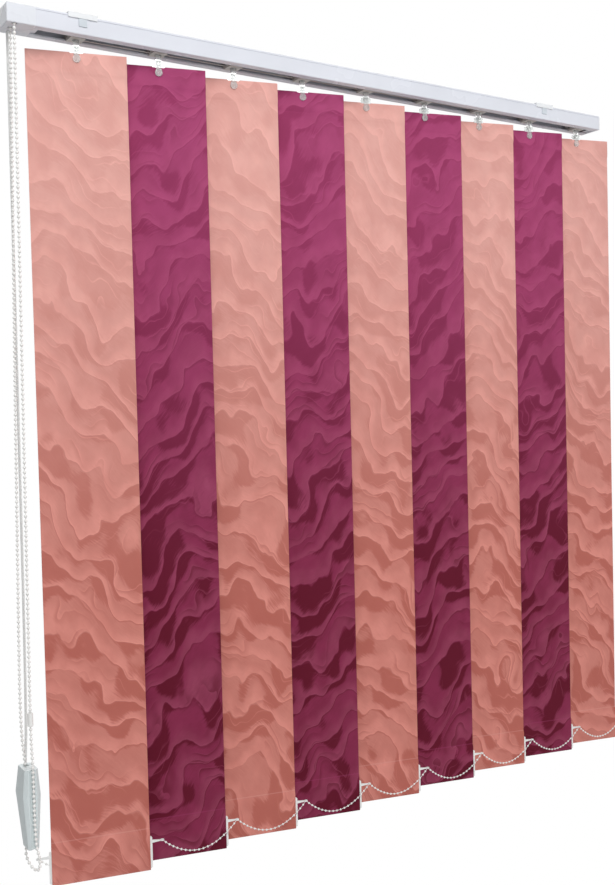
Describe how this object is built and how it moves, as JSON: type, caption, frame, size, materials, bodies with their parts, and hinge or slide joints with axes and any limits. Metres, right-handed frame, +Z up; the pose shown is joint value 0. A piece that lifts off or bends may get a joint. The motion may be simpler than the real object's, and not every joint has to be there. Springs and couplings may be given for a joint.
{
  "type": "vertical blind",
  "caption": "Vertical blind with hanging fabric louvres that tilt on a worm-driven rod and draw to one side along a slotted headrail.",
  "frame": {"origin": "on the ceiling plane, midway between the two bracket screws", "axes": "+X along the headrail away from the control end, -Y into the room, +Z up"},
  "size_m": [1.0886, 0.0452, 1.107],
  "materials": {
    "rail_white": "gloss",
    "cap_white": "gloss",
    "bracket_white": "satin",
    "clear_plastic": "gloss",
    "grey_plastic": "satin",
    "white_plastic": "satin",
    "peach_fabric": "satin",
    "burgundy_fabric": "satin",
    "rod_metal": "satin",
    "cord_white": "matte"
  },
  "bodies": {
    "rail": {"headrail": "rail_white", "control_housing": "cap_white", "return_end_cap": "cap_white", "ceiling_brackets": "bracket_white", "control_chain": "white_plastic", "chain_connector": "clear_plastic", "traverse_cord": "cord_white", "cord_weight": "grey_plastic", "carrier_1": "grey_plastic"},
    "carrier_2": {"carrier_2": "grey_plastic"},
    "carrier_3": {"carrier_3": "grey_plastic"},
    "carrier_4": {"carrier_4": "grey_plastic"},
    "carrier_5": {"carrier_5": "grey_plastic"},
    "carrier_6": {"carrier_6": "grey_plastic"},
    "carrier_7": {"carrier_7": "grey_plastic"},
    "carrier_8": {"carrier_8": "grey_plastic"},
    "carrier_9": {"carrier_9": "grey_plastic"},
    "louvre_1": {"stem_1": "clear_plastic", "slat_1": "peach_fabric", "weight_1": "white_plastic"},
    "worm_1": {"worm_1": "white_plastic"},
    "louvre_2": {"stem_2": "clear_plastic", "slat_2": "burgundy_fabric", "weight_2": "white_plastic"},
    "worm_2": {"worm_2": "white_plastic"},
    "louvre_3": {"stem_3": "clear_plastic", "slat_3": "peach_fabric", "weight_3": "white_plastic"},
    "worm_3": {"worm_3": "white_plastic"},
    "louvre_4": {"stem_4": "clear_plastic", "slat_4": "burgundy_fabric", "weight_4": "white_plastic"},
    "worm_4": {"worm_4": "white_plastic"},
    "louvre_5": {"stem_5": "clear_plastic", "slat_5": "peach_fabric", "weight_5": "white_plastic"},
    "worm_5": {"worm_5": "white_plastic"},
    "louvre_6": {"stem_6": "clear_plastic", "slat_6": "burgundy_fabric", "weight_6": "white_plastic"},
    "worm_6": {"worm_6": "white_plastic"},
    "louvre_7": {"stem_7": "clear_plastic", "slat_7": "peach_fabric", "weight_7": "white_plastic"},
    "worm_7": {"worm_7": "white_plastic"},
    "louvre_8": {"stem_8": "clear_plastic", "slat_8": "burgundy_fabric", "weight_8": "white_plastic"},
    "worm_8": {"worm_8": "white_plastic"},
    "louvre_9": {"stem_9": "clear_plastic", "slat_9": "peach_fabric", "weight_9": "white_plastic"},
    "worm_9": {"worm_9": "white_plastic"},
    "tilt_rod": {"tilt_rod": "rod_metal", "chain_wheel": "white_plastic"},
    "front_cord_pulley": {"front_cord_pulley": "white_plastic"},
    "back_cord_pulley": {"back_cord_pulley": "white_plastic"},
    "return_pulley": {"return_pulley": "white_plastic"},
    "front_chain": {"front_chain": "white_plastic"},
    "back_chain": {"back_chain": "white_plastic"}
  },
  "joints": [
    {"name": "traverse", "type": "slide", "parent": "rail", "child": "carrier_9", "axis": [-1, 0, 0], "range_m": [0, 0.748], "deforming": ["front_chain", "back_chain"]},
    {"name": "traverse_2", "type": "slide", "parent": "rail", "child": "carrier_2", "axis": [-1, 0, 0], "range_m": [0, 0.0935]},
    {"name": "traverse_3", "type": "slide", "parent": "rail", "child": "carrier_3", "axis": [-1, 0, 0], "range_m": [0, 0.187]},
    {"name": "traverse_4", "type": "slide", "parent": "rail", "child": "carrier_4", "axis": [-1, 0, 0], "range_m": [0, 0.2805]},
    {"name": "traverse_5", "type": "slide", "parent": "rail", "child": "carrier_5", "axis": [-1, 0, 0], "range_m": [0, 0.374]},
    {"name": "traverse_6", "type": "slide", "parent": "rail", "child": "carrier_6", "axis": [-1, 0, 0], "range_m": [0, 0.4675]},
    {"name": "traverse_7", "type": "slide", "parent": "rail", "child": "carrier_7", "axis": [-1, 0, 0], "range_m": [0, 0.561]},
    {"name": "traverse_8", "type": "slide", "parent": "rail", "child": "carrier_8", "axis": [-1, 0, 0], "range_m": [0, 0.6545]},
    {"name": "tilt", "type": "hinge", "parent": "rail", "child": "louvre_1", "pos_m": [-0.406, 0, -0.014], "axis": [0, 0, 1], "range_deg": [-152, 0]},
    {"name": "tilt_2", "type": "hinge", "parent": "carrier_2", "child": "louvre_2", "pos_m": [-0.2925, 0, -0.014], "axis": [0, 0, 1], "range_deg": [-152, 0]},
    {"name": "tilt_3", "type": "hinge", "parent": "carrier_3", "child": "louvre_3", "pos_m": [-0.179, 0, -0.014], "axis": [0, 0, 1], "range_deg": [-152, 0]},
    {"name": "tilt_4", "type": "hinge", "parent": "carrier_4", "child": "louvre_4", "pos_m": [-0.0655, 0, -0.014], "axis": [0, 0, 1], "range_deg": [-152, 0]},
    {"name": "tilt_5", "type": "hinge", "parent": "carrier_5", "child": "louvre_5", "pos_m": [0.048, 0, -0.014], "axis": [0, 0, 1], "range_deg": [-152, 0]},
    {"name": "tilt_6", "type": "hinge", "parent": "carrier_6", "child": "louvre_6", "pos_m": [0.1615, 0, -0.014], "axis": [0, 0, 1], "range_deg": [-152, 0]},
    {"name": "tilt_7", "type": "hinge", "parent": "carrier_7", "child": "louvre_7", "pos_m": [0.275, 0, -0.014], "axis": [0, 0, 1], "range_deg": [-152, 0]},
    {"name": "tilt_8", "type": "hinge", "parent": "carrier_8", "child": "louvre_8", "pos_m": [0.3885, 0, -0.014], "axis": [0, 0, 1], "range_deg": [-152, 0]},
    {"name": "tilt_9", "type": "hinge", "parent": "carrier_9", "child": "louvre_9", "pos_m": [0.502, 0, -0.014], "axis": [0, 0, 1], "range_deg": [-152, 0]},
    {"name": "worm_spin_1", "type": "hinge", "parent": "rail", "child": "worm_1", "pos_m": [-0.406, -0.0095, -0.014], "axis": [1, 0, 0], "range_deg": [0, 1520]},
    {"name": "worm_spin_2", "type": "hinge", "parent": "carrier_2", "child": "worm_2", "pos_m": [-0.2925, -0.0095, -0.014], "axis": [1, 0, 0], "range_deg": [0, 1520]},
    {"name": "worm_spin_3", "type": "hinge", "parent": "carrier_3", "child": "worm_3", "pos_m": [-0.179, -0.0095, -0.014], "axis": [1, 0, 0], "range_deg": [0, 1520]},
    {"name": "worm_spin_4", "type": "hinge", "parent": "carrier_4", "child": "worm_4", "pos_m": [-0.0655, -0.0095, -0.014], "axis": [1, 0, 0], "range_deg": [0, 1520]},
    {"name": "worm_spin_5", "type": "hinge", "parent": "carrier_5", "child": "worm_5", "pos_m": [0.048, -0.0095, -0.014], "axis": [1, 0, 0], "range_deg": [0, 1520]},
    {"name": "worm_spin_6", "type": "hinge", "parent": "carrier_6", "child": "worm_6", "pos_m": [0.1615, -0.0095, -0.014], "axis": [1, 0, 0], "range_deg": [0, 1520]},
    {"name": "worm_spin_7", "type": "hinge", "parent": "carrier_7", "child": "worm_7", "pos_m": [0.275, -0.0095, -0.014], "axis": [1, 0, 0], "range_deg": [0, 1520]},
    {"name": "worm_spin_8", "type": "hinge", "parent": "carrier_8", "child": "worm_8", "pos_m": [0.3885, -0.0095, -0.014], "axis": [1, 0, 0], "range_deg": [0, 1520]},
    {"name": "worm_spin_9", "type": "hinge", "parent": "carrier_9", "child": "worm_9", "pos_m": [0.502, -0.0095, -0.014], "axis": [1, 0, 0], "range_deg": [0, 1520]},
    {"name": "rod_spin", "type": "hinge", "parent": "rail", "child": "tilt_rod", "pos_m": [-0.49, -0.0095, -0.014], "axis": [1, 0, 0], "range_deg": [0, 1520]},
    {"name": "front_chain_hang", "type": "hinge", "parent": "louvre_1", "child": "front_chain", "pos_m": [-0.32838, -0.01935, -1.069], "axis": [0, 0, 1], "range_deg": [0, 152]},
    {"name": "back_chain_hang", "type": "hinge", "parent": "louvre_1", "child": "back_chain", "pos_m": [-0.48362, 0.01935, -1.069], "axis": [0, 0, 1], "range_deg": [0, 152]},
    {"name": "front_cord_pulley_spin", "type": "hinge", "parent": "rail", "child": "front_cord_pulley", "pos_m": [-0.4855, 0.0086, -0.0145], "axis": [0, 1, 0], "range_deg": [-9524.78, 0]},
    {"name": "back_cord_pulley_spin", "type": "hinge", "parent": "rail", "child": "back_cord_pulley", "pos_m": [-0.4855, 0.0142, -0.0145], "axis": [0, 1, 0], "range_deg": [0, 9524.78]},
    {"name": "return_pulley_spin", "type": "hinge", "parent": "rail", "child": "return_pulley", "pos_m": [0.526, 0.0114, -0.01], "axis": [0, 0, 1], "range_deg": [-15307.69, 0]}
  ],
  "couplings": [
    {"joint": "traverse_2", "follows": "traverse", "ratio": 0.125},
    {"joint": "traverse_3", "follows": "traverse", "ratio": 0.25},
    {"joint": "traverse_4", "follows": "traverse", "ratio": 0.375},
    {"joint": "traverse_5", "follows": "traverse", "ratio": 0.5},
    {"joint": "traverse_6", "follows": "traverse", "ratio": 0.625},
    {"joint": "traverse_7", "follows": "traverse", "ratio": 0.75},
    {"joint": "traverse_8", "follows": "traverse", "ratio": 0.875},
    {"joint": "tilt_2", "follows": "tilt", "ratio": 1},
    {"joint": "tilt_3", "follows": "tilt", "ratio": 1},
    {"joint": "tilt_4", "follows": "tilt", "ratio": 1},
    {"joint": "tilt_5", "follows": "tilt", "ratio": 1},
    {"joint": "tilt_6", "follows": "tilt", "ratio": 1},
    {"joint": "tilt_7", "follows": "tilt", "ratio": 1},
    {"joint": "tilt_8", "follows": "tilt", "ratio": 1},
    {"joint": "tilt_9", "follows": "tilt", "ratio": 1},
    {"joint": "worm_spin_1", "follows": "tilt", "ratio": -10},
    {"joint": "worm_spin_2", "follows": "tilt", "ratio": -10},
    {"joint": "worm_spin_3", "follows": "tilt", "ratio": -10},
    {"joint": "worm_spin_4", "follows": "tilt", "ratio": -10},
    {"joint": "worm_spin_5", "follows": "tilt", "ratio": -10},
    {"joint": "worm_spin_6", "follows": "tilt", "ratio": -10},
    {"joint": "worm_spin_7", "follows": "tilt", "ratio": -10},
    {"joint": "worm_spin_8", "follows": "tilt", "ratio": -10},
    {"joint": "worm_spin_9", "follows": "tilt", "ratio": -10},
    {"joint": "rod_spin", "follows": "tilt", "ratio": -10},
    {"joint": "front_chain_hang", "follows": "tilt", "ratio": -1},
    {"joint": "back_chain_hang", "follows": "tilt", "ratio": -1},
    {"joint": "front_cord_pulley_spin", "follows": "traverse", "rad_per_m": -222.22},
    {"joint": "back_cord_pulley_spin", "follows": "traverse", "rad_per_m": 222.22},
    {"joint": "return_pulley_spin", "follows": "traverse", "rad_per_m": -357.14}
  ]
}
